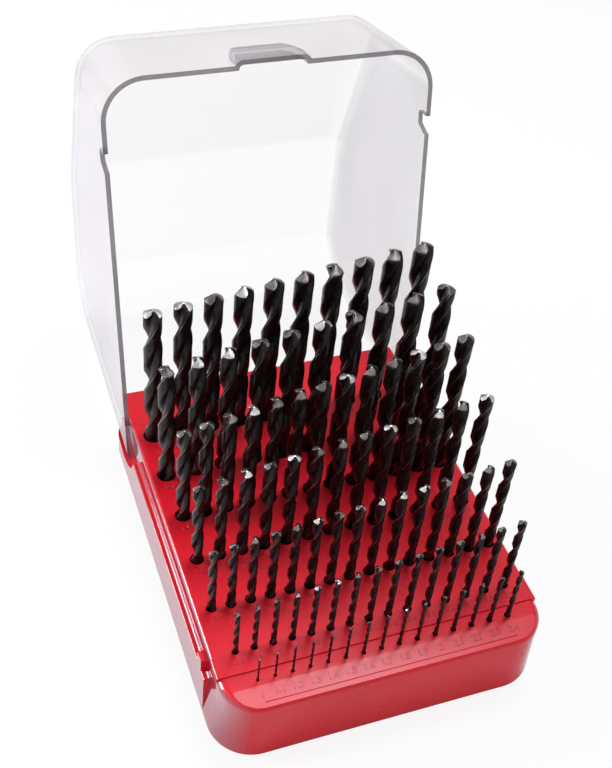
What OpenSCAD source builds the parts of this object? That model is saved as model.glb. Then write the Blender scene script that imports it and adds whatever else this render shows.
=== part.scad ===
// Drill bit case: a red moulded block that holds 91 twist drills from
// 1.0 to 10.0 mm, and a clear hood that swings back on two moulded studs.
// Millimetres. X runs along the rows, Y from front to back, Z up.
// The origin is the middle of the block's underside.

/* [Block] */
// Width of the block below the lid's seat
base_w = 155; // [140:1:180]
// Depth of the block, front to back
base_d = 193; // [188:1:215]
// Height of the block
base_h = 38; // [37:1:60]
// Radius of the two upright front corners
front_corner_r = 20; // [12:1:24]
// Depth of the nose, where the sides slope in instead of forming a seat
nose_d = 28; // [27:0.5:30]
// Radius of the two upright rear corners
rear_corner_r = 5; // [3:0.5:7]
// Height of the lid's seat below the top face
seat_drop = 12.7; // [10:0.1:16]
// Radius of the front top edge
front_edge_r = 3; // [1.5:0.5:5]
// Bevel along the top edges at the sides
side_bevel = 0.6; // [0.2:0.1:1.5]
// Depth of the sloping strip that carries the sizes of the front row
scale_d = 7.5; // [5:0.5:9]
// Fall of that strip from back to front
scale_fall = 0.9; // [0.3:0.1:1.5]
// Distance from the front face to the small step behind the front row
front_step_y = 18; // [16.5:0.5:21]
// Height of the small step behind the front row
front_step_h = 0.8; // [0.3:0.1:1.5]
// Depth of the sloping strip at the back
rear_strip_d = 26; // [20:1:27]
// Height of the small step in front of the rear strip
rear_step_h = 0.4; // [0.2:0.1:1]
// Fall of the rear strip from front to back
rear_fall = 1.2; // [0.5:0.1:3]

/* [Rows of holes, front to back] */
// Smallest drill in each row
row_first = [1.0, 2.5, 4.0, 5.5, 6.8, 8.1, 9.1];
// Number of drills in each row
row_count = [15, 15, 15, 13, 13, 10, 10];
// Distance of each row from the front face
row_y = [13.5, 28.7, 52.7, 80, 106.3, 132.8, 159.5];
// Distance from the block's side to the first and last drill of each row
row_margin = [19.3, 14.1, 10.5, 11.7, 12.3, 11.3, 11.8];
// Depth of the holes in each row
row_depth = [20, 29, 34, 35, 35, 35, 35];
// Height of the first drill of each row above the top face
row_show_first = [15.5, 28, 40, 50, 57, 70.5, 81.5];
// Height of the last drill of each row above the top face
row_show_last = [32, 45, 57, 71, 84, 91.5, 96];
// Step in diameter from one drill to the next
size_step = 0.1; // [0.05:0.01:0.1]
// Gap round the smallest drill in its hole
hole_gap = 0.25; // [0.15:0.05:0.4]
// Extra gap for each millimetre of diameter
hole_gap_rate = 0.03; // [0.01:0.01:0.05]
// Gap under a drill in its hole
foot_gap = 0.3; // [0.1:0.1:0.6]

/* [Drills] */
// Length of one turn of the flutes, in diameters
helix_ratio = 5.9; // [4:0.1:8]
// Full angle of the point
point_angle = 118; // [90:1:140]
// Depth in the hole at which the flutes start
flute_start = 4; // [2:0.5:8]
// Depth left at the web between the flutes, as a share of the radius
web_share = 0.3; // [0.2:0.05:0.5]
// Diameter from which a drill is drawn with its flutes
fluted_from = 2.5; // [1:0.1:4]

/* [Lid] */
// Thickness of the lid's walls
lid_wall = 2.2; // [1.6:0.1:3]
// Gap between the lid and the block's sides
lid_gap = 0.7; // [0.4:0.1:1.2]
// Gap between the lid and the block's front face
lid_front_gap = 0.5; // [0.3:0.1:1.5]
// Gap between the closed lid's rim and its seat
rim_gap = 0.3; // [0.2:0.1:0.6]
// Radius of the lid's upright front corners
lid_front_r = 20; // [14:1:24]
// Radius of the lid's upright rear corners
lid_rear_r = 8; // [6:0.5:12]
// Radius of the lid's roof edges
roof_r = 9; // [4:0.5:12]
// Reach of the rim behind the block
lid_back_reach = 6.3; // [5:0.1:8]
// Height of the lid's front wall
front_wall_h = 69; // [60:1:90]
// Lean of the front wall at its top
front_lean = 2; // [0:0.5:5]
// Distance from the front to the crease in the roof
crease_y = 88; // [70:1:100]
// Height of that crease
crease_h = 110.5; // [105:0.5:125]
// Distance from the back to the highest line of the roof
crown_back = 46; // [42:1:57]
// Height of the roof at its highest line
crown_h = 122; // [119:0.5:140]
// Distance from the back to the top of the rear wall
shoulder_back = 24; // [12:1:26]
// Height of the top of the rear wall
shoulder_h = 106.5; // [104:0.5:118]
// Height of the rear wall's lower edge above the rim
rear_cut_h = 27.5; // [27:0.5:40]
// Width of the thumb lip
lip_w = 36; // [20:1:60]
// Height of the thumb lip
lip_h = 26; // [12:1:40]
// Reach of the thumb lip in front of the front wall
lip_reach = 2.4; // [1:0.1:4]
// Angle at which the lid leans on the block when open
lid_open = 100.5; // [60:0.5:100.5]

/* [Hinge and latch] */
// Distance from the block's back face to the hinge
hinge_back = 15.7; // [15:0.1:18]
// Depth of the hinge below the top face
hinge_drop = 5.5; // [4.5:0.1:7]
// Diameter of the hinge studs
stud_dia = 5; // [3:0.1:6]
// Gap between a stud and the lid
stud_gap = 0.08; // [0.03:0.01:0.1]
// Radius of the pockets that the lid's ears swing in
pocket_r = 23.5; // [23:0.5:24.5]
// Distance from the front face to the latch nubs
nub_y = 31.6; // [31.4:0.1:34]
// Length of a latch nub
nub_len = 5.2; // [3:0.1:6]
// Height of a latch nub above the lid's seat
nub_h = 7; // [4:0.1:8]
// Gap in front of and above a nub in its notch
notch_gap = 1.2; // [0.8:0.1:2]
// Length of a notch in the lid's rim
notch_len = 9; // [8:0.1:12]

/* [Hidden] */

$fn = 48;
// Facets of the rounded edges of the hood
hood_fn = 24;
// Turn of the flutes from one slice to the next
slice_turn = 50;
// Half width of a land, seen along the drill
land_angle = 36;
// The flutes' outside is this much smaller in radius than the shank
land_relief = 0.02;
// Diameters above which the section gets two and three points to a land
medium_from = 5.45;
fine_from = 8.05;
// Share of the section that is left at the very point
point_share = 0.12;
// Overrun of cuts, so that no face is shared
over = 1;
// The parts of the nose keep this much inside what they meet, also for that
nose_inset = 0.05;
// Height of the upright band at the foot of the nose
foot_band = 1;

block_half = base_w / 2;
top_half = block_half - lid_wall - lid_gap;
seat_z = base_h - seat_drop;
front_y = -base_d / 2;
back_y = base_d / 2;
hinge_y = back_y - hinge_back;
hinge_z = base_h - hinge_drop;
lid_front_y = front_y - lid_front_gap - lid_wall;
rim_z = seat_z + rim_gap;
lid_d = base_d + lid_front_gap + lid_wall + lid_back_reach;
notch_y = nub_y + front_y - notch_gap;
rows = len(row_first);

// Sizes and places of the drills
function size(r, i) = row_first[r] + size_step * i;
function share(r, i) = i / (row_count[r] - 1);
function show(r, i) = row_show_first[r]
    + (row_show_last[r] - row_show_first[r]) * share(r, i);
function row_half(r) = block_half - row_margin[r];
// The web between two neighbours is the same all along a row
function web(r) = 2 * row_half(r) / (row_count[r] - 1)
    - (size(r, 0) + size(r, row_count[r] - 1)) / 2;
function bit_x(r, i) = -row_half(r) + i * (web(r) + size(r, 0))
    + size_step * i * i / 2;
function bit_y(r) = front_y + row_y[r];
function gap_round(d) = hole_gap + hole_gap_rate * d;
// Height of the top face over a row: the front row stands on a lower strip
function deck_z(r) = row_y[r] < front_step_y ? base_h - front_step_h : base_h;
function point_len(d) = d / 2 / tan(point_angle / 2);

// Outline of the block or its upper part behind the nose, from above
module plan(half, start) {
    flat_rear = half - rear_corner_r;
    translate([-half, front_y + start])
        square([2 * half, base_d - start - rear_corner_r]);
    translate([-flat_rear, 0])
        square([2 * flat_rear, back_y]);
    for (side = [-1, 1])
        translate([side * flat_rear, back_y - rear_corner_r])
            circle(r = rear_corner_r);
}

// A slice across the back of the nose, as tall as the outline given
module nose_slice() {
    translate([0, front_y + nose_d - over / 2, 0])
        rotate([90, 0, 0])
            linear_extrude(height = over, center = true)
                children();
}

// The front of the block: its sides and corners slope in up to the height
// of the seat, then stand upright, and its top edge is rounded
module nose() {
    top = base_h - front_step_h;
    flat_front = block_half - front_corner_r;
    foot_half = block_half - nose_inset;
    half = top_half - nose_inset;
    corner_r = half - flat_front;
    slope_h = seat_z - nose_inset;
    upper_half = half - nose_inset;
    upper_r = corner_r - nose_inset;
    hull() {
        for (side = [-1, 1]) {
            translate([side * flat_front, front_y + front_corner_r, 0])
                cylinder(r = front_corner_r, h = foot_band);
            translate([side * flat_front, front_y + corner_r, 0])
                cylinder(r = corner_r, h = slope_h);
        }
        nose_slice() polygon([
            [-foot_half, 0], [-half, slope_h],
            [half, slope_h], [foot_half, 0]]);
    }
    hull() {
        for (side = [-1, 1])
            translate([side * flat_front, front_y + corner_r, 0]) {
                cylinder(r = upper_r, h = seat_z);
                translate([0, 0, top - front_edge_r])
                    rotate_extrude()
                        translate([upper_r - front_edge_r, 0])
                            circle(r = front_edge_r, $fn = hood_fn);
            }
        nose_slice() polygon([
            [-upper_half, 0], [-upper_half, top],
            [upper_half, top], [upper_half, 0]]);
    }
}

// What the scale strip's slope takes off the nose, seen from the side
module scale_cut() {
    top = base_h - front_step_h;
    strip_y = front_y + front_edge_r + scale_d;
    slope = scale_fall / scale_d;
    polygon([
        [front_y - over, top - slope * (strip_y - front_y + over)],
        [strip_y, top],
        [strip_y, top + over],
        [front_y - over, top + over]]);
}

// Side view of the top behind the nose, with its steps
module deck_profile() {
    step_y = front_y + front_step_y;
    rear_y = back_y - rear_strip_d;
    rear_z = base_h - rear_step_h;
    polygon([
        [step_y, 0],
        [step_y, base_h],
        [rear_y, base_h],
        [rear_y, rear_z],
        [back_y, rear_z - rear_fall],
        [back_y, 0]]);
}

// Front view of the block, with the small bevel along its top edges
module front_profile() {
    polygon([
        [-top_half, 0],
        [-top_half, base_h - side_bevel],
        [-top_half + side_bevel, base_h],
        [top_half - side_bevel, base_h],
        [top_half, base_h - side_bevel],
        [top_half, 0]]);
}

// Turns a drawing in (Y, Z) into a bar along X
module along_x(len) {
    rotate([90, 0, 90])
        linear_extrude(height = len, center = true)
            children();
}

module hinge_axis(r, len) {
    translate([0, hinge_y, hinge_z])
        rotate([0, 90, 0])
            cylinder(r = r, h = len, center = true);
}

module sockets() {
    for (r = [0 : rows - 1])
        for (i = [0 : row_count[r] - 1])
            translate([bit_x(r, i), bit_y(r), deck_z(r) - row_depth[r]])
                cylinder(r = size(r, i) / 2 + gap_round(size(r, i)),
                    h = row_depth[r] + over);
}

module ear_pockets() {
    difference() {
        hinge_axis(pocket_r, base_w + 2 * over);
        hinge_axis(pocket_r + over, 2 * top_half);
    }
}

module latch_nubs() {
    for (side = [-1, 1])
        translate([side * (top_half + block_half - over) / 2,
                front_y + nub_y + nub_len / 2, seat_z + nub_h / 2 - over / 2])
            cube([block_half - top_half + over, nub_len, nub_h + over],
                center = true);
}

module base() {
    color("crimson") difference() {
        union() {
            difference() {
                linear_extrude(height = seat_z)
                    plan(block_half, nose_d - over);
                ear_pockets();
            }
            intersection() {
                linear_extrude(height = base_h)
                    plan(top_half, front_step_y - over);
                along_x(base_w) deck_profile();
                rotate([90, 0, 0])
                    linear_extrude(height = base_d + 2 * over, center = true)
                        front_profile();
            }
            difference() {
                nose();
                along_x(base_w + 2 * over) scale_cut();
            }
            latch_nubs();
            hinge_axis(stud_dia / 2, base_w);
        }
        sockets();
    }
}

// The hood as a solid; shrink makes the space inside it
module hood_form(shrink, below) {
    side_x = block_half - roof_r;
    front_x = block_half - lid_front_r;
    rear_x = block_half - lid_rear_r;
    hull() {
        for (side = [-1, 1]) {
            translate([side * front_x, lid_front_r, -below])
                cylinder(r = lid_front_r - shrink, h = over, $fn = hood_fn * 2);
            translate([side * rear_x, lid_d - lid_rear_r, -below])
                cylinder(r = lid_rear_r - shrink, h = over, $fn = hood_fn);
            translate([side * front_x, lid_front_r + front_lean,
                    front_wall_h - roof_r])
                rotate_extrude($fn = hood_fn * 2)
                    translate([lid_front_r - roof_r, 0])
                        circle(r = roof_r - shrink, $fn = hood_fn);
            translate([side * side_x, crease_y, crease_h - roof_r])
                sphere(r = roof_r - shrink, $fn = hood_fn);
            translate([side * side_x, lid_d - crown_back - roof_r / 2, crown_h - roof_r])
                sphere(r = roof_r - shrink, $fn = hood_fn);
            translate([side * side_x, lid_d - shoulder_back - roof_r, shoulder_h - roof_r / 2])
                sphere(r = roof_r - shrink, $fn = hood_fn);
        }
    }
}

// A wedge that stands out of the front wall over the thumb
module lip_form(shrink, back) {
    hull() {
        translate([-lip_w / 2 + shrink, -lip_reach + shrink, 0])
            cube([lip_w - 2 * shrink, lip_reach + back - shrink, lip_h / 3]);
        translate([-lip_w / 2 + shrink + lip_reach, shrink, 0])
            cube([lip_w - 2 * shrink - 2 * lip_reach, back - shrink,
                lip_h - shrink]);
    }
}

// The lid shut on the block, with its front rim at lid_front_y
module lid_shut() {
    inner_half = block_half - lid_wall;
    notch_t = notch_y - lid_front_y;
    notch_h = nub_h - rim_gap + notch_gap;
    difference() {
        translate([0, lid_front_y, rim_z]) difference() {
            union() {
                hood_form(0, 0);
                lip_form(0, lid_wall);
            }
            hood_form(lid_wall, over * 2);
            translate([0, 0, -over])
                lip_form(lid_wall, lid_wall + over);
            // The rear wall stops short of the block, so that it can swing
            translate([-inner_half, lid_d - 2 * lid_rear_r - lid_wall, -over])
                cube([2 * inner_half, 3 * lid_rear_r, rear_cut_h + over]);
            along_x(base_w + 2 * over) polygon([
                [notch_t, -over],
                [notch_t, notch_h],
                [notch_t + nub_len + notch_gap / 2, notch_h],
                [notch_t + notch_len, notch_h / 4],
                [notch_t + notch_len, -over]]);
        }
        hinge_axis(stud_dia / 2 + stud_gap, base_w + 4 * over);
    }
}

module lid() {
    color([0.9, 0.92, 0.93, 0.4])
        translate([0, hinge_y, hinge_z])
            rotate([-lid_open, 0, 0])
                translate([0, -hinge_y, -hinge_z])
                    lid_shut();
}

// Section across the flutes: two lands, and a web point in each flute
function flute_section(r, land_points) = [
    for (side = [0, 180])
        for (k = [0 : land_points])
            let (spread = land_points > 1
                ? land_angle * (2 * k / (land_points - 1) - 1) : 0,
                on_land = k < land_points,
                reach = on_land ? r : r * web_share,
                a = on_land ? side + spread : side + 90)
            [reach * cos(a), reach * sin(a)]];

function turned(p, a) = [p[0] * cos(a) - p[1] * sin(a),
    p[0] * sin(a) + p[1] * cos(a)];

// Thicker drills get a finer section
function land_count(d) = d > fine_from ? 3 : d > medium_from ? 2 : 1;

// The fluted part and its point, twisted to the right, from z = 0 up
module fluted_part(d, body_len) {
    section = flute_section(d / 2 - land_relief, land_count(d));
    n = len(section);
    turn = 360 * body_len / (helix_ratio * d);
    slices = ceil(turn / slice_turn);
    body_rings = [for (s = [0 : slices]) for (p = section)
        let (q = turned(p, turn * s / slices))
        [q[0], q[1], body_len * s / slices]];
    point_ring = [for (p = section)
        let (q = turned(p, turn))
        [q[0] * point_share, q[1] * point_share, body_len + point_len(d)]];
    walls = [for (s = [0 : slices]) for (k = [0 : n - 1])
        let (low = s * n + k, next = s * n + (k + 1) % n)
        each [[low, low + n, next], [next, low + n, next + n]]];
    foot = [[for (k = [0 : n - 1]) k]];
    end = [[for (k = [0 : n - 1]) (slices + 2) * n - 1 - k]];
    polyhedron(points = concat(body_rings, point_ring),
        faces = concat(foot, walls, end));
}

// One drill, point up, with its foot at z = 0
module drill(d, foot_to_deck, above) {
    shank_len = foot_to_deck - flute_start;
    body_len = foot_to_deck + above - shank_len - point_len(d);
    if (d > fluted_from - size_step / 2) {
        cylinder(r = d / 2, h = shank_len);
        translate([0, 0, shank_len - over])
            fluted_part(d, body_len + over);
    } else {
        cylinder(r = d / 2, h = shank_len + body_len);
        translate([0, 0, shank_len + body_len])
            cylinder(r1 = d / 2, r2 = d / 2 * point_share, h = point_len(d));
    }
}

// The drills of one row, from one place in it to another
module drills(r, from, to) {
    foot_z = deck_z(r) - row_depth[r] + foot_gap;
    color([0.16, 0.15, 0.15])
        for (i = [from : to])
            translate([bit_x(r, i), bit_y(r), foot_z])
                drill(size(r, i), row_depth[r] - foot_gap, show(r, i));
}

module bits_1_0_to_1_4() { drills(0, 0, 4); }
module bits_1_5_to_1_9() { drills(0, 5, 9); }
module bits_2_0_to_2_4() { drills(0, 10, 14); }
module bits_2_5_to_2_9() { drills(1, 0, 4); }
module bits_3_0_to_3_4() { drills(1, 5, 9); }
module bits_3_5_to_3_9() { drills(1, 10, 14); }
module bits_4_0_to_4_4() { drills(2, 0, 4); }
module bits_4_5_to_4_9() { drills(2, 5, 9); }
module bits_5_0_to_5_4() { drills(2, 10, 14); }
module bits_5_5_to_5_9() { drills(3, 0, 4); }
module bits_6_0_to_6_3() { drills(3, 5, 8); }
module bits_6_4_to_6_7() { drills(3, 9, 12); }
module bits_6_8_to_7_1() { drills(4, 0, 3); }
module bits_7_2_to_7_5() { drills(4, 4, 7); }
module bits_7_6_to_8_0() { drills(4, 8, 12); }
module bits_8_1_to_8_5() { drills(5, 0, 4); }
module bits_8_6_to_9_0() { drills(5, 5, 9); }
module bit_9_1() { drills(6, 0, 0); }
module bit_9_2() { drills(6, 1, 1); }
module bit_9_3() { drills(6, 2, 2); }
module bit_9_4() { drills(6, 3, 3); }
module bit_9_5() { drills(6, 4, 4); }
module bit_9_6() { drills(6, 5, 5); }
module bit_9_7() { drills(6, 6, 6); }
module bit_9_8() { drills(6, 7, 7); }
module bit_9_9() { drills(6, 8, 8); }
module bit_10_0() { drills(6, 9, 9); }

base();
lid();
bits_1_0_to_1_4();
bits_1_5_to_1_9();
bits_2_0_to_2_4();
bits_2_5_to_2_9();
bits_3_0_to_3_4();
bits_3_5_to_3_9();
bits_4_0_to_4_4();
bits_4_5_to_4_9();
bits_5_0_to_5_4();
bits_5_5_to_5_9();
bits_6_0_to_6_3();
bits_6_4_to_6_7();
bits_6_8_to_7_1();
bits_7_2_to_7_5();
bits_7_6_to_8_0();
bits_8_1_to_8_5();
bits_8_6_to_9_0();
bit_9_1();
bit_9_2();
bit_9_3();
bit_9_4();
bit_9_5();
bit_9_6();
bit_9_7();
bit_9_8();
bit_9_9();
bit_10_0();
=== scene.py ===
import bpy
import bmesh
import math
import random
from mathutils import Matrix, Vector


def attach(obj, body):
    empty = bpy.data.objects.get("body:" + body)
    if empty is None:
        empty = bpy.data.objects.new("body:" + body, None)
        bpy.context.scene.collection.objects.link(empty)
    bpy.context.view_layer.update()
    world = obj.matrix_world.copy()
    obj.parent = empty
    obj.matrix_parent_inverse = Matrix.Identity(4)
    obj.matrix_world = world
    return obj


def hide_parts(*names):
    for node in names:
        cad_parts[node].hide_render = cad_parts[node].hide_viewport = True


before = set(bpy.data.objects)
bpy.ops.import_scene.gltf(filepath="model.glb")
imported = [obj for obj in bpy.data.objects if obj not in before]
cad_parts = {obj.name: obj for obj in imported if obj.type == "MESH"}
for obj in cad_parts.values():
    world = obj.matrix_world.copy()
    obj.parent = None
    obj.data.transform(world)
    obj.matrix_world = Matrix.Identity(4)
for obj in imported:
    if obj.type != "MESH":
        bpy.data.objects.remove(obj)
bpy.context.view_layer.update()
scene = bpy.context.scene
rng = random.Random(91)

# ----------------------------------------------------------------- sizes
# In mm, as in the CAD: x across, y from front to rear, z up from the bench.
MM = 0.001                          # one mm in metres
BASE_HALF, TOP_HALF = 77.5, 74.6    # half widths below and above the seat
FRONT_Y = -96.5                     # the block is centred: its rear is at 96.5
SEAT_Z, DECK_Z = 25.3, 38
CORNER_X = 57.5                     # centres of the round front corners
HINGE_Y, HINGE_Z = 80.8, 32.5
STUD_R, STUD_PLAY = 2.5, 0.08

# The strip in front of the deck that carries the first row and its scale
STRIP_Z, STRIP_D = 37.2, 10.5       # height of its rear edge, and its depth
STRIP_SLOPE = 0.9 / 7               # fall toward the front

# The rows, from the front: first diameter, number of drills, distance behind
# the block's front, half the distance from the first to the last drill, depth
# of the holes, and how far the first and the last drill stand above the deck
ROW_FIRST = [1.0, 2.5, 4.0, 5.5, 6.8, 8.1, 9.1]
ROW_COUNT = [15, 15, 15, 13, 13, 10, 10]
ROW_Y = [13.5, 28.7, 52.7, 80, 106.3, 132.8, 159.5]
ROW_HALF = [58.2, 63.4, 67, 65.8, 65.2, 66.2, 65.7]
ROW_DEPTH = [20, 29, 34, 35, 35, 35, 35]
ROW_SHOW = [(15.5, 32), (28, 45), (40, 57), (50, 71), (57, 84), (70.5, 91.5),
            (81.5, 96)]
STEP = 0.1                          # from one diameter to the next
REAR_ROW = 6                        # each of its drills is a node
# How many drills each node of the other rows has
SPLITS = [(5, 5, 5), (5, 5, 5), (5, 5, 5), (5, 4, 4), (4, 4, 5), (5, 5)]


def bit_d(r, i):
    return ROW_FIRST[r] + STEP * i


def bit_x(r, i):
    """Place across: the web between neighbouring drills is equal in a row."""
    n = ROW_COUNT[r]
    web = 2 * ROW_HALF[r] / (n - 1) - (bit_d(r, 0) + bit_d(r, n - 1)) / 2
    return -ROW_HALF[r] + i * (web + ROW_FIRST[r]) + STEP * i * i / 2


def deck_z(r):
    return DECK_Z if r else STRIP_Z


# ---------------------------------------------------------------- camera
# As solved from the photograph: angles in degrees, the eye's place in mm
YAW, PITCH, ROLL = 23.87, 43.71, 6.49
EYE = (-161.9, -332.2, 467.2)
LENS, SENSOR = 55.54, 36


def make_camera():
    yaw, pitch, roll = (math.radians(a) for a in (YAW, PITCH, ROLL))
    forward = Vector((math.sin(yaw) * math.cos(pitch),
                      math.cos(yaw) * math.cos(pitch), -math.sin(pitch)))
    level = Vector((math.cos(yaw), -math.sin(yaw), 0))
    upright = level.cross(forward)
    right = level * math.cos(roll) + upright * math.sin(roll)
    up = upright * math.cos(roll) - level * math.sin(roll)
    eye = Vector(EYE) * MM
    data = bpy.data.cameras.new("camera")
    data.lens = LENS
    data.sensor_width = SENSOR
    cam = bpy.data.objects.new("camera", data)
    scene.collection.objects.link(cam)
    cam.matrix_world = Matrix((
        (right.x, up.x, -forward.x, eye.x),
        (right.y, up.y, -forward.y, eye.y),
        (right.z, up.z, -forward.z, eye.z),
        (0, 0, 0, 1)))
    scene.camera = cam


make_camera()


# ----------------------------------------------------------------- nodes
def srgb(r, g, b):
    """Linear colour of an sRGB one that is given from 0 to 255."""
    def one(v):
        v /= 255
        return v / 12.92 if v <= 0.04045 else ((v + 0.055) / 1.055) ** 2.4
    return (one(r), one(g), one(b), 1)


def grey(v):
    return (v, v, v, 1)


def new_mat(name):
    m = bpy.data.materials.new(name)
    m.use_nodes = True
    return m, m.node_tree, m.node_tree.nodes["Principled BSDF"]


def set_inputs(node, values):
    for key, value in values.items():
        node.inputs[key].default_value = value


def noise(nt, scale, detail, stretch=None):
    """Noise in the object's own space; stretch is a scale for each axis."""
    place = nt.nodes.new("ShaderNodeTexCoord").outputs["Object"]
    if stretch:
        mapping = nt.nodes.new("ShaderNodeMapping")
        mapping.inputs["Scale"].default_value = stretch
        nt.links.new(place, mapping.inputs["Vector"])
        place = mapping.outputs["Vector"]
    tex = nt.nodes.new("ShaderNodeTexNoise")
    set_inputs(tex, {"Scale": scale, "Detail": detail})
    nt.links.new(place, tex.inputs["Vector"])
    return tex.outputs["Fac"]


def ramp(nt, fac, low, high):
    """Colour between two stops, each of them a position and a colour."""
    node = nt.nodes.new("ShaderNodeValToRGB")
    stops = node.color_ramp.elements
    for stop, (position, colour) in zip(stops, (low, high)):
        stop.position = position
        stop.color = colour
    nt.links.new(fac, node.inputs["Fac"])
    return node.outputs["Color"]


def map_range(nt, value, lo, hi, out_lo, out_hi):
    node = nt.nodes.new("ShaderNodeMapRange")
    set_inputs(node, {"From Min": lo, "From Max": hi,
                      "To Min": out_lo, "To Max": out_hi})
    nt.links.new(value, node.inputs["Value"])
    return node.outputs["Result"]


def calc(nt, operation, *values):
    """A math node's output; each value is a number or another output."""
    node = nt.nodes.new("ShaderNodeMath")
    node.operation = operation
    for socket, value in zip(node.inputs, values):
        if isinstance(value, (int, float)):
            socket.default_value = value
        else:
            nt.links.new(value, socket)
    return node.outputs[0]


def bump(nt, bsdf, height, strength, distance):
    node = nt.nodes.new("ShaderNodeBump")
    set_inputs(node, {"Strength": strength, "Distance": distance})
    nt.links.new(height, node.inputs["Height"])
    nt.links.new(node.outputs["Normal"], bsdf.inputs["Normal"])


# ------------------------------------------------------------- materials
SATIN, POLISH = 0.28, 0.07          # roughness of the red plastic


def red_plastic(name, dark, light, side_shade):
    """Moulded red plastic: satin on top, with a high polish on the upright
    sides.
    There its colour is painted darker and mauve: painted shade with a painted
    reflection tint.
    """
    m, nt, bsdf = new_mat(name)
    normal = nt.nodes.new("ShaderNodeSeparateXYZ")
    nt.links.new(nt.nodes.new("ShaderNodeNewGeometry").outputs["Normal"],
                 normal.inputs["Vector"])
    polished_and_shaded = map_range(nt, calc(nt, "ABSOLUTE", normal.outputs["X"]),
                         0.35, 0.95, 0, 1)
    # On the upright sides the base colour turns to side_shade, a darker mauve:
    # painted shade with a painted reflection tint.
    blend = nt.nodes.new("ShaderNodeMix")
    blend.data_type = "RGBA"
    factor, first, second = (blend.inputs[i] for i in (0, 6, 7))
    nt.links.new(polished_and_shaded, factor)
    nt.links.new(ramp(nt, noise(nt, 12, 1), (0.3, dark), (0.7, light)), first)
    second.default_value = side_shade
    nt.links.new(blend.outputs[2], bsdf.inputs["Base Color"])
    rough = calc(nt, "MULTIPLY", map_range(nt, polished_and_shaded, 0, 1, SATIN, POLISH),
                 map_range(nt, noise(nt, 60, 2), 0, 1, 0.9, 1.1))
    nt.links.new(rough, bsdf.inputs["Roughness"])
    nt.links.new(polished_and_shaded, bsdf.inputs["Coat Weight"])
    bump(nt, bsdf, noise(nt, 900, 2), 0.03, 0.0002)
    set_inputs(bsdf, {"IOR": 1.55, "Specular IOR Level": 0.2,
                      "Coat IOR": 1.9, "Coat Roughness": 0.06})
    return m


def clear_plastic(name, dark, light, low, high, power, rough=0.06):
    """Clear plastic: alpha is low where the eye meets it square on, high at
    a glancing angle. A greater power keeps it clear for longer."""
    m, nt, bsdf = new_mat(name)
    nt.links.new(ramp(nt, noise(nt, 14, 3), (0.3, dark), (0.7, light)),
                 bsdf.inputs["Base Color"])
    weight = nt.nodes.new("ShaderNodeLayerWeight")
    weight.inputs["Blend"].default_value = 0.5
    facing = calc(nt, "POWER", weight.outputs["Facing"], power)
    nt.links.new(map_range(nt, facing, 0, 1, low, high), bsdf.inputs["Alpha"])
    nt.links.new(ramp(nt, noise(nt, 60, 5), (0.4, grey(rough)),
                      (0.75, grey(rough * 2.5))), bsdf.inputs["Roughness"])
    bump(nt, bsdf, noise(nt, 7, 2), 0.05, 0.004)
    bsdf.inputs["IOR"].default_value = 1.57
    return m


def black_steel(name, dark, light, metal, rough):
    """Steel with a fine grain across the drill's length."""
    m, nt, bsdf = new_mat(name)
    nt.links.new(ramp(nt, noise(nt, 260, 5), (0.35, dark), (0.72, light)),
                 bsdf.inputs["Base Color"])
    bsdf.inputs["Metallic"].default_value = metal
    nt.links.new(ramp(nt, noise(nt, 420, 4), (0.3, grey(rough)),
                      (0.75, grey(rough + 0.2))), bsdf.inputs["Roughness"])
    bump(nt, bsdf, noise(nt, 1500, 2, (1, 1, 4)), 0.25, 0.0002)
    return m


# The third colour of each red goes on the upright sides: painted shade with a
# painted mauve reflection.
RED = red_plastic("red_plastic", srgb(205, 20, 36), srgb(213, 26, 43),
                  srgb(134, 26, 50))
# The raised figures are moulded in the same red plastic; their darker red is a
# painted shade.
RED_FIGURES_SHADED = red_plastic("red_plastic_figures", srgb(182, 30, 46),
                        srgb(194, 36, 52), srgb(150, 26, 42))
CLEAR = clear_plastic("clear_plastic", srgb(168, 163, 167),
                      srgb(190, 186, 189), 0.02, 0.45, 2.4)
# The lid is one clear plastic; these copies of it are tinted darker or lighter
# by where they sit on the lid: painted shade.
CLEAR_SIDE_SHADED = clear_plastic("clear_plastic_side", srgb(160, 154, 158),
                           srgb(184, 179, 182), 0.07, 0.72, 1.9)
CLEAR_FRONT_SHADED = clear_plastic("clear_plastic_front", srgb(160, 152, 156),
                            srgb(198, 190, 194), 0.06, 0.46, 2.8)
# Dark grey on the rim and in the notches: a painted shade for the dark look of
# the clear plastic's cut edges.
CLEAR_EDGE_SHADED = clear_plastic("clear_plastic_edge", srgb(74, 64, 70),
                           srgb(112, 102, 108), 0.8, 0.93, 2.0, 0.12)
# Darker and less clear on the thumb lip: painted shade of its bulge.
CLEAR_LIP_SHADED = clear_plastic("clear_plastic_lip", srgb(104, 96, 100),
                          srgb(132, 124, 128), 0.42, 0.85, 1.6)
BLACK = black_steel("black_oxide_steel", srgb(26, 22, 22), srgb(48, 43, 42),
                    0.75, 0.24)
GROUND = black_steel("ground_steel", srgb(150, 148, 148), srgb(225, 223, 222),
                     1.0, 0.2)
# Lighter steel on the lands and on points that are not ground: partly real
# wear, partly a painted highlight along the edges.
WORN_AND_HIGHLIGHT = black_steel("worn_and_highlit_oxide_steel", srgb(84, 78, 78), srgb(136, 130, 129),
                   0.95, 0.22)


# ---------------------------------------------------------------- shapes
def link_mesh(bm, name):
    """A new object with the mesh in bm, which is freed."""
    me = bpy.data.meshes.new(name)
    bm.to_mesh(me)
    bm.free()
    ob = bpy.data.objects.new(name, me)
    scene.collection.objects.link(ob)
    return ob


def add_verts(bm, pts):
    return [bm.verts.new([c * MM for c in p]) for p in pts]


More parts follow.
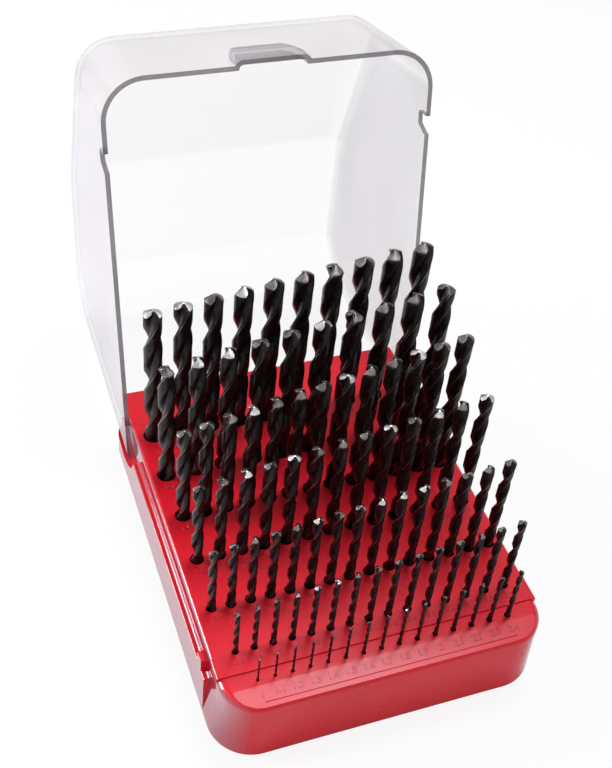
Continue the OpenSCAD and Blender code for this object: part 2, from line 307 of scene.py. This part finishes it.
def lofts(tubes, name="tool"):
    """Closed solids in one mesh. Each tube is a list of rings of points."""
    bm = bmesh.new()
    for tube in tubes:
        rings = [add_verts(bm, pts) for pts in tube]
        n = len(rings[0])
        for lo, hi in zip(rings, rings[1:]):
            for k in range(n):
                bm.faces.new((lo[k], lo[(k + 1) % n], hi[(k + 1) % n], hi[k]))
        bm.faces.new(list(reversed(rings[0])))
        bm.faces.new(rings[-1])
    bmesh.ops.recalc_face_normals(bm, faces=bm.faces)
    return link_mesh(bm, name)


def prism_x(profile, half):
    """A profile of (y, z) from -half to half."""
    return lofts([[[(s * half, y, z) for y, z in profile] for s in (-1, 1)]])


def prism_y(profile, y0, y1, name="tool"):
    return lofts([[[(x, y, z) for x, z in profile] for y in (y0, y1)]], name)


def prism_z(outline, z0, z1):
    return lofts([[[(x, y, z) for x, y in outline] for z in (z0, z1)]])


def arc(cx, cy, r, a0, a1, n):
    return [(cx + r * math.cos(math.radians(a0 + (a1 - a0) * k / n)),
             cy + r * math.sin(math.radians(a0 + (a1 - a0) * k / n)))
            for k in range(n + 1)]


def circle_pts(cx, cy, cz, r, n):
    return [(cx + r * math.cos(2 * math.pi * k / n),
             cy + r * math.sin(2 * math.pi * k / n), cz) for k in range(n)]


def sphere_pts(cx, cy, cz, r, n):
    pts = []
    for j in range(1, n // 2):
        t = math.pi * j / (n // 2)
        pts += circle_pts(cx, cy, cz + r * math.cos(t), r * math.sin(t), n)
    return pts + [(cx, cy, cz + r), (cx, cy, cz - r)]


def cylinders(items, n):
    """Upright cylinders, each given as (x, y, z0, z1, r)."""
    return lofts([[circle_pts(x, y, z, r, n) for z in (z0, z1)]
                  for x, y, z0, z1, r in items])


def hinge_cylinder(r, x0, x1, n):
    """A cylinder about the hinge's axis."""
    ob = cylinders([(0, 0, x0, x1, r)], n)
    for v in ob.data.vertices:
        x, y, z = v.co
        v.co = (z, y + HINGE_Y * MM, -x + HINGE_Z * MM)
    return ob


def box(lo, hi):
    bm = bmesh.new()
    bmesh.ops.create_cube(bm, size=1)
    for v in bm.verts:
        v.co = Vector([(a + b) / 2 + c * (b - a) for a, b, c in
                       zip(lo, hi, v.co)]) * MM
    return link_mesh(bm, "tool")


def hull(pts, name="tool"):
    """Convex hull of the points, with its flat places as single faces."""
    bm = bmesh.new()
    add_verts(bm, pts)
    out = bmesh.ops.convex_hull(bm, input=bm.verts)
    inner = {g for g in out["geom_interior"]
             if isinstance(g, bmesh.types.BMVert)}
    bmesh.ops.delete(bm, geom=list(inner), context="VERTS")
    bmesh.ops.dissolve_limit(bm, angle_limit=math.radians(0.4),
                             verts=bm.verts, edges=bm.edges)
    return link_mesh(bm, name)


def combine(ob, tool, how):
    """Applies one boolean to ob and removes the tool."""
    md = ob.modifiers.new("boolean", "BOOLEAN")
    md.operation = how
    md.solver = "EXACT"
    md.object = tool
    bpy.context.view_layer.update()
    dg = bpy.context.evaluated_depsgraph_get()
    me = bpy.data.meshes.new_from_object(ob.evaluated_get(dg))
    ob.modifiers.clear()
    old = ob.data
    ob.data = me
    bpy.data.meshes.remove(old)
    bpy.data.objects.remove(tool)


def dress(ob, *materials):
    """Smooth faces, and these materials in place of any others."""
    ob.data.materials.clear()
    for m in materials:
        ob.data.materials.append(m)
    for p in ob.data.polygons:
        p.use_smooth = True


def soften(ob, width, angle):
    """A small bevel on the edges that turn by more than angle."""
    bv = ob.modifiers.new("bevel", "BEVEL")
    bv.width = width * MM
    bv.segments = 2
    bv.limit_method = "ANGLE"
    bv.angle_limit = math.radians(angle)
    wn = ob.modifiers.new("normals", "WEIGHTED_NORMAL")
    wn.keep_sharp = True


# ------------------------------------------------------------ the drills
HELIX = 5.9                         # the flutes' lead over the diameter
POINT = 118                         # degrees
SLIVER = 0.02                       # the drills stay this far inside the CAD
CHAMFER, CHAMFER_R = 0.6, 0.85      # at the foot: height, share of the radius
STEPS_PER_TURN = 26
# The section, in degrees from the cutting edge: the land, then the relieved
# body to its heel, then the flute. The others are shares of the radius.
LAND, HEEL, SECTION_TURN = 10, 88, 44
RELIEVED, FLUTE_DEPTH = 0.97, 0.68
POINT_GROUND = 0.72                 # the point is ground outside this share
OXIDE, BRIGHT, EDGE_WORN_AND_HIGHLIGHT = range(3)


def section(n):
    """Angle and radius share at n places round a drill with two flutes."""
    out = []
    for k in range(n):
        a = 360 * k / n
        b = (a + SECTION_TURN) % 180
        if b < LAND:
            rho = 1.0
        elif b < HEEL:
            rho = RELIEVED
        else:
            u = (b - HEEL) / (180 - HEEL)
            rho = 1 - FLUTE_DEPTH * math.sin(math.pi * u ** 0.9) ** 0.7
        out.append((math.radians(a), rho))
    return out


def add_drill(bm, x, y, foot, deck, top, d, spin, bright):
    """One twist drill, added to bm, from its foot to its point at top."""
    r = d / 2 - SLIVER
    n = 36 if d > 6 else 28 if d > 2.4 else 16
    cut = section(n)
    slope = math.tan(math.radians(POINT / 2))
    lead = HELIX * d
    start = deck - 3 - d * 0.4      # the flutes run out a little in the hole

    def ring(z, depth, limit=1.0):
        """Vertices at z; depth is the share of the flutes' full depth, and
        limit the greatest share of the radius. The flutes turn from start."""
        turn = spin + 2 * math.pi * (max(z, start) - start) / lead
        pts = []
        for a, rho in cut:
            rho = min(1 - (1 - rho) * depth, limit)
            pts.append((x + r * rho * math.cos(a + turn),
                        y + r * rho * math.sin(a + turn), z))
        return add_verts(bm, pts)

    fluted = start + d * 0.8
    rings = [ring(foot, 0, CHAMFER_R), ring(foot + CHAMFER, 0),
             ring(start, 0), ring(start + d * 0.35, 0.6)]
    full_depth = len(rings)
    rings.append(ring(fluted, 1))
    rise = top - r / slope - fluted
    steps = max(3, int(rise / (lead / STEPS_PER_TURN)))
    for k in range(1, steps):
        rings.append(ring(fluted + rise * k / steps, 1))
    first_cone = len(rings)
    for share in (1.0, 0.86, 0.72, 0.58, 0.44, 0.32, 0.16):
        rings.append(ring(top - r * share / slope, 1, share))

    # The lands and the points that are not ground take the lighter steel: wear
    # with a painted highlight.
    tip_look = BRIGHT if bright else EDGE_WORN_AND_HIGHLIGHT
    for j, (lo, hi) in enumerate(zip(rings, rings[1:])):
        for k in range(n):
            f = bm.faces.new((lo[k], lo[(k + 1) % n], hi[(k + 1) % n], hi[k]))
            rho = cut[k][1]
            on_cone = j >= first_cone and rho > POINT_GROUND
            on_land = j >= full_depth and rho == 1.0
            f.smooth = not on_cone
            if on_cone:
                f.material_index = tip_look
            else:
                f.material_index = EDGE_WORN_AND_HIGHLIGHT if on_land else OXIDE
    foot_mid, tip = add_verts(bm, [(x, y, foot), (x, y, top - 0.06 * r)])
    lo, hi = rings[0], rings[-1]
    for k in range(n):
        bm.faces.new((lo[(k + 1) % n], lo[k], foot_mid))
        f = bm.faces.new((hi[k], hi[(k + 1) % n], tip))
        f.material_index = tip_look


def drills(node, body, r, first, last):
    """The drills of one node, from number first to number last of row r."""
    bm = bmesh.new()
    deck = deck_z(r)
    for i in range(first, last + 1):
        d = bit_d(r, i)
        lo, hi = ROW_SHOW[r]
        top = deck + lo + (hi - lo) * i / (ROW_COUNT[r] - 1)
        spin = rng.uniform(0, math.pi)
        bright = rng.random() < (0.35 if d > 4 else 0.2)
        if r == REAR_ROW:           # here the photograph shows which are
            bright = i in (0, 1, 3)
        add_drill(bm, bit_x(r, i), FRONT_Y + ROW_Y[r],
                  deck - ROW_DEPTH[r] + 0.3, deck, top, d, spin, bright)
    ob = link_mesh(bm, "drills_" + node)
    for m in (BLACK, GROUND, WORN_AND_HIGHLIGHT):
        ob.data.materials.append(m)
    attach(ob, body)
    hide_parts(node)


def size_name(r, i):
    return ("%.1f" % bit_d(r, i)).replace(".", "_")


for row, split in enumerate(SPLITS):
    start = 0
    for count in split:
        end = start + count - 1
        drills("bits_%s_to_%s" % (size_name(row, start), size_name(row, end)),
               "base", row, start, end)
        start = end + 1
for i in range(ROW_COUNT[REAR_ROW]):
    name = "bit_" + size_name(REAR_ROW, i)
    drills(name, name, REAR_ROW, i, i)

# --------------------------------------------------------------- the lid
# In the lid's own coordinates, shut: y from its front, z up from its rim
LID_FRONT, RIM_Z = -99.2, 25.6      # where they start in the frame
OPEN = math.radians(100.5)
WALL = 2.2
LID_CORNER_R = 20                   # upright front edges
REAR_X, REAR_Y, REAR_R = 69.5, 194, 8   # upright rear edges
BROW_Y, BROW_Z = 22, 60             # where the front starts to turn over
ROUND = 9                           # rounding of all the edges above
ROOF_X = 68.5
ROOF = ((88, 101.5), (151.5, 113), (169, 102))  # (y, z) of its corners
REAR_CUT_Y, REAR_CUT_Z = 183.8, 27.5    # only the ears are left behind it
# The thumb lip from the rim up: half width, y, z and radius of its edge
LIP = ((13.6, 2.0, 0, 4.4), (13.6, 2.0, 8, 4.4), (12.5, 2.4, 17, 3.6),
       (11, 2.6, 24, 2.6))
# The notches for the block's nubs. A curve leads in from the rear.
NOTCH_H = 7.9
NOTCH = [(33.1, -1), (33.1, NOTCH_H), (38.9, NOTCH_H), (40.2, NOTCH_H * 0.72),
         (41.2, NOTCH_H * 0.4), (42.1, NOTCH_H * 0.25), (42.1, -1)]
PAST = 90                           # half length of a tool across the part


def hood_pts(shrink, below):
    """The hood's rounded corners, made smaller by shrink. It starts at below
    under the rim."""
    pts = []
    round_r = ROUND - shrink
    for s in (-1, 1):
        for z in (-below, -below + 1):
            pts += circle_pts(s * CORNER_X, LID_CORNER_R, z,
                              LID_CORNER_R - shrink, 96)
            pts += circle_pts(s * REAR_X, REAR_Y, z, REAR_R - shrink, 48)
        for k in range(13):
            t = math.pi * k / 24
            pts += circle_pts(s * CORNER_X, BROW_Y,
                              BROW_Z + round_r * math.sin(t),
                              LID_CORNER_R - ROUND + round_r * math.cos(t), 96)
        for y, z in ROOF:
            pts += sphere_pts(s * ROOF_X, y, z, round_r, 40)
    return pts


def lip_pts(shrink, back, drop=0):
    """The thumb lip, made smaller by shrink and cut off flat at y = back."""
    pts = []
    for s in (-1, 1):
        for x, y, z, r in LIP:
            level = (z - shrink if z else z) - drop
            ring = circle_pts(s * x, y, level, max(r - shrink, 0.3), 32)
            pts += [(px, min(py, back), level) for px, py, _ in ring]
            pts.append((s * (x + r - shrink), back, level))
    return pts


def ear_holes():
    """A rod through both ears, where the block's studs go."""
    bm = bmesh.new()
    r = (STUD_R + STUD_PLAY) * MM
    bmesh.ops.create_cone(bm, cap_ends=True, segments=48, radius1=r,
                          radius2=r, depth=2 * (PAST + 10) * MM)
    for v in bm.verts:
        v.co = Vector((v.co.z, v.co.y + (HINGE_Y - LID_FRONT) * MM,
                       -v.co.x + (HINGE_Z - RIM_Z) * MM))
    return link_mesh(bm, "tool")


WALLS, RIM, FRONT, LIP_FACE, SIDES = range(5)


def lid_look(p):
    """Which copy of the clear plastic a lid face has, by its place: painted
    shade.
    """
    x, y, z = p.center / MM
    in_notch = (z < 9 and p.normal.z < 0.2 and abs(p.normal.y) > 0.9
                and 30 < y < 44)
    if (p.normal.z < -0.5 and z < 9) or in_notch:
        return RIM
    # the front wall, one large face with the lip's hole in it, is no lip
    if y < -0.05 or (p.area < 1e-3 and y < 2.5 and abs(x) < 17 and z < 26):
        return LIP_FACE
    if y < 20 and z < 66:
        return FRONT
    if abs(x) > 72 and abs(p.normal.x) > 0.7:
        return SIDES
    return WALLS


def make_lid():
    lid = hull(hood_pts(0, 0), "lid_shell")
    combine(lid, hull(lip_pts(0, WALL)), "UNION")
    combine(lid, hull(hood_pts(WALL, 2)), "DIFFERENCE")
    combine(lid, hull(lip_pts(WALL, WALL + 1, 1)), "DIFFERENCE")
    inside = REAR_X + REAR_R - WALL
    combine(lid, box((-inside, REAR_CUT_Y, -1), (inside, 210, REAR_CUT_Z)),
            "DIFFERENCE")
    combine(lid, prism_x(NOTCH, PAST), "DIFFERENCE")
    combine(lid, ear_holes(), "DIFFERENCE")
    # each face gets its copy of the clear plastic by place, with that copy's
    # painted shade
    dress(lid, CLEAR, CLEAR_EDGE_SHADED, CLEAR_FRONT_SHADED, CLEAR_LIP_SHADED, CLEAR_SIDE_SHADED)
    for p in lid.data.polygons:
        p.material_index = lid_look(p)
    # from the lid's own coordinates to the open lid on the block
    for v in lid.data.vertices:
        y = v.co.y + (LID_FRONT - HINGE_Y) * MM
        z = v.co.z + (RIM_Z - HINGE_Z) * MM
        v.co.y = HINGE_Y * MM + y * math.cos(OPEN) + z * math.sin(OPEN)
        v.co.z = HINGE_Z * MM - y * math.sin(OPEN) + z * math.cos(OPEN)
    lid.data.update()
    soften(lid, 0.35, 50)
    return lid


lid = make_lid()
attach(lid, "lid")
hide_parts("lid")

# ------------------------------------------------------------- the block
SKIRT_ROUND, SEAT_FILLET, DECK_ROUND = 0.7, 1.6, 1.8
REAR_CORNER_R = 5
NOSE_BACK = 28                      # the nose ends this far behind the front
NOSE_R = TOP_HALF - 0.05 - CORNER_X
FOOT_R = BASE_HALF - CORNER_X
NOSE_FOOT_Z, NOSE_SLOPE_Z = 1, 25.25    # it slopes inward between these
NOSE_ROUND = 3.5                    # of its upper edge
GROOVE_Y = (2.9, 3.3)               # a fine line in front of the scale
GROOVE_Z, GROOVE_HALF = 35.95, 58
UPPER_ROUND = 0.8
REAR_FALL = [(70.5, 37.6), (97.5, 36.35)]   # (y, z) of the deck's rear edge
POCKET_R = 23.5                     # the hood's ears swing in it
STUD_END, STUD_ROOT = 77.4, 74
NUB_Y, NUB_Z = (31.6, 36.8), (24.5, 32.3)


def hole_r(d):
    return d / 2 + 0.25 + 0.03 * d


def make_body():
    """The block behind its nose, with round rear corners."""
    half_side = ([(BASE_HALF, 0)]
                 + arc(BASE_HALF - SKIRT_ROUND, SEAT_Z - SKIRT_ROUND,
                       SKIRT_ROUND, 0, 90, 4)
                 + arc(TOP_HALF + SEAT_FILLET, SEAT_Z + SEAT_FILLET,
                       SEAT_FILLET, 270, 180, 7)
                 + arc(TOP_HALF - DECK_ROUND, DECK_Z - DECK_ROUND,
                       DECK_ROUND, 0, 90, 6))
    profile = half_side + [(-x, z) for x, z in reversed(half_side)]
    body = prism_y(profile, FRONT_Y + NOSE_BACK - 1, -FRONT_Y, "block")
    cx, cy = BASE_HALF - REAR_CORNER_R, -FRONT_Y - REAR_CORNER_R
    outline = ([(-80, -80), (80, -80)]
               + arc(cx, cy, REAR_CORNER_R, 0, 90, 10)
               + arc(-cx, cy, REAR_CORNER_R, 90, 180, 10))
    combine(body, prism_z(outline, -1, 50), "INTERSECT")
    return body


def make_nose():
    """The round front: a loft of outlines, each with its height and radius."""
    levels = [(0, FOOT_R)]
    for k in range(9):
        levels.append((NOSE_FOOT_Z + (NOSE_SLOPE_Z - NOSE_FOOT_Z) * k / 8,
                       FOOT_R + (NOSE_R - FOOT_R) * k / 8))
    levels.append((29.5, NOSE_R))
    for k in range(13):
        t = math.pi * k / 24
        levels.append((STRIP_Z - NOSE_ROUND + NOSE_ROUND * math.sin(t),
                       NOSE_R - NOSE_ROUND + NOSE_ROUND * math.cos(t)))
    rings = []
    for z, r in levels:
        cy = FRONT_Y + max(r, NOSE_R)
        outline = ([(-CORNER_X - r, FRONT_Y + NOSE_BACK)]
                   + arc(-CORNER_X, cy, r, 180, 270, 28)
                   + arc(CORNER_X, cy, r, 270, 360, 28)
                   + [(CORNER_X + r, FRONT_Y + NOSE_BACK)])
        rings.append([(x, y, z) for x, y in outline])
    nose = lofts([rings])
    over = DECK_Z + 2
    rear = FRONT_Y + STRIP_D
    combine(nose, prism_x([
        (FRONT_Y - 1, STRIP_Z - STRIP_SLOPE * (STRIP_D + 1)),
        (rear, STRIP_Z), (rear, over), (FRONT_Y - 1, over)], PAST),
        "DIFFERENCE")
    y0, y1 = (FRONT_Y + y for y in GROOVE_Y)
    combine(nose, prism_x([(y0, over), (y0, GROOVE_Z), (y1, GROOVE_Z),
                           (y1, over)], GROOVE_HALF), "DIFFERENCE")
    return nose


def make_upper():
    """The front of the raised deck, which overlaps the nose."""
    x, z = TOP_HALF - UPPER_ROUND, DECK_Z - UPPER_ROUND
    return prism_y([(-x, 20), (x, 20)] + arc(x, z, UPPER_ROUND, 0, 90, 4)
                   + arc(-x, z, UPPER_ROUND, 90, 180, 4),
                   FRONT_Y + 18, FRONT_Y + NOSE_BACK)


def make_holes():
    items = []
    for r in range(len(ROW_COUNT)):
        for i in range(ROW_COUNT[r]):
            items.append((bit_x(r, i), FRONT_Y + ROW_Y[r],
                          deck_z(r) - ROW_DEPTH[r], deck_z(r) + 2,
                          hole_r(bit_d(r, i))))
    return cylinders(items, 36)


def make_block():
    block = make_body()
    nose = make_nose()
    upper = make_upper()
    combine(block, nose, "UNION")
    combine(block, upper, "UNION")
    over = DECK_Z + 3
    combine(block, prism_x(REAR_FALL + [(REAR_FALL[1][0], over),
                                        (REAR_FALL[0][0], over)], PAST),
            "DIFFERENCE")
    for s in (-1, 1):
        a, b = sorted((s * TOP_HALF, s * 80))
        combine(block, hinge_cylinder(POCKET_R, a, b, 128), "DIFFERENCE")
        a, b = sorted((s * STUD_ROOT, s * STUD_END))
        combine(block, hinge_cylinder(STUD_R, a, b, 64), "UNION")
        a, b = sorted((s * STUD_ROOT, s * BASE_HALF))
        combine(block, box((a, FRONT_Y + NUB_Y[0], NUB_Z[0]),
                           (b, FRONT_Y + NUB_Y[1], NUB_Z[1])), "UNION")
    combine(block, make_holes(), "DIFFERENCE")
    dress(block, RED)
    soften(block, 0.22, 45)
    return block


block = make_block()
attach(block, "base")
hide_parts("base")

# ----------------------------------------------------------- the figures
FONT_SIZE = 1.4                     # over the height of the figures
SCALE_Y, SCALE_Z, SCALE_H = 6.7, 36.74, 3.1     # on the sloping strip
LABEL_GAP, LABEL_Z, LABEL_H = 4.0, 38.02, 2.6   # on the deck, before a hole


def figure(text, x, y, z, height, tilt=0.0):
    cu = bpy.data.curves.new("figure", "FONT")
    cu.body = text
    cu.size = height * MM * FONT_SIZE
    cu.align_x = "CENTER"
    cu.align_y = "CENTER"
    cu.extrude = 0.12 * MM
    cu.bevel_depth = 0.05 * MM
    cu.bevel_resolution = 0
    cu.resolution_u = 4
    ob = bpy.data.objects.new("figure", cu)
    ob.location = (x * MM, y * MM, z * MM)
    ob.rotation_euler = (tilt, 0, 0)
    scene.collection.objects.link(ob)
    return ob


def make_figures():
    """Each drill's diameter in raised figures before its hole, in one mesh."""
    texts = []
    for r in range(len(ROW_COUNT)):
        for i in range(ROW_COUNT[r]):
            d = bit_d(r, i)
            label = "%g" % round(d, 1)
            if r == 0:
                place = (bit_x(r, i), FRONT_Y + SCALE_Y, SCALE_Z)
                texts.append(figure(label, *place, SCALE_H,
                                    math.atan(STRIP_SLOPE)))
            else:
                y = FRONT_Y + ROW_Y[r] - LABEL_GAP - d / 2
                texts.append(figure(label, bit_x(r, i), y, LABEL_Z, LABEL_H))
    bpy.context.view_layer.update()
    dg = bpy.context.evaluated_depsgraph_get()
    bm = bmesh.new()
    for t in texts:
        me = bpy.data.meshes.new_from_object(t.evaluated_get(dg))
        me.transform(t.matrix_world)
        bm.from_mesh(me)
        bpy.data.meshes.remove(me)
    for t in texts:
        bpy.data.objects.remove(t)
    ob = link_mesh(bm, "size_figures")
    # the figures' darker red is a painted shade
    ob.data.materials.append(RED_FIGURES_SHADED)
    return ob


figures = make_figures()
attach(figures, "base")

# ------------------------------------------------------- floor and light
FLOOR_HALF = 4                      # m
# How far the floor is plain white to the eye, and the share of that which
# reflections see
FLOOR_WHITE, FLOOR_GLOSS = 0.88, 0.15
AMBIENT = 0.26                      # strength of the world's light
TARGET = Vector((0, 0, 0.06))       # where the lamps point, m


def make_floor():
    """Pale to the eye, so that it is white and still shows the shadow."""
    h = FLOOR_HALF
    me = bpy.data.meshes.new("floor")
    me.from_pydata([(-h, -h, 0), (h, -h, 0), (h, h, 0), (-h, h, 0)], [],
                   [(0, 1, 2, 3)])
    ob = bpy.data.objects.new("floor", me)
    ob.location.z = -0.0002
    scene.collection.objects.link(ob)
    m, nt, bsdf = new_mat("floor")
    set_inputs(bsdf, {"Base Color": grey(0.9), "Roughness": 0.9})
    path = nt.nodes.new("ShaderNodeLightPath")
    seen = calc(nt, "MAXIMUM", path.outputs["Is Camera Ray"],
                calc(nt, "MULTIPLY", path.outputs["Is Glossy Ray"],
                     FLOOR_GLOSS))
    mix = nt.nodes.new("ShaderNodeMixShader")
    nt.links.new(calc(nt, "MULTIPLY", seen, FLOOR_WHITE), mix.inputs["Fac"])
    nt.links.new(bsdf.outputs[0], mix.inputs[1])
    nt.links.new(nt.nodes.new("ShaderNodeEmission").outputs[0], mix.inputs[2])
    nt.links.new(mix.outputs[0], nt.nodes["Material Output"].inputs["Surface"])
    me.materials.append(m)
    return ob


def make_world():
    """White to the eye, in reflections and through what is clear. A soft
    ambient light for all else."""
    world = bpy.data.worlds.new("world")
    scene.world = world
    world.use_nodes = True
    nt = world.node_tree
    back = nt.nodes["Background"]
    back.inputs["Color"].default_value = grey(1)
    path = nt.nodes.new("ShaderNodeLightPath")
    seen = calc(nt, "MAXIMUM", calc(nt, "MAXIMUM",
                                    path.outputs["Is Camera Ray"],
                                    path.outputs["Is Glossy Ray"]),
                path.outputs["Is Transmission Ray"])
    nt.links.new(map_range(nt, seen, 0, 1, AMBIENT, 1),
                 back.inputs["Strength"])


def lamp(name, place, size, power, colour=(1, 1, 1)):
    data = bpy.data.lights.new(name, "AREA")
    data.energy = power
    data.size = size
    data.color = colour
    ob = bpy.data.objects.new(name, data)
    ob.location = place
    ob.rotation_euler = (TARGET - Vector(place)).to_track_quat(
        "-Z", "Y").to_euler()
    scene.collection.objects.link(ob)


floor = make_floor()
make_world()
lamp("soft", (0.256, 0.18, 1.1), 0.38, 8, (0.97, 0.92, 1.0))
lamp("front", (-0.2, -1.3, 0.75), 0.8, 4)
lamp("window", (-1.15, 0.55, 0.42), 0.6, 21, (0.92, 0.95, 1.0))
scene.view_settings.view_transform = "Standard"
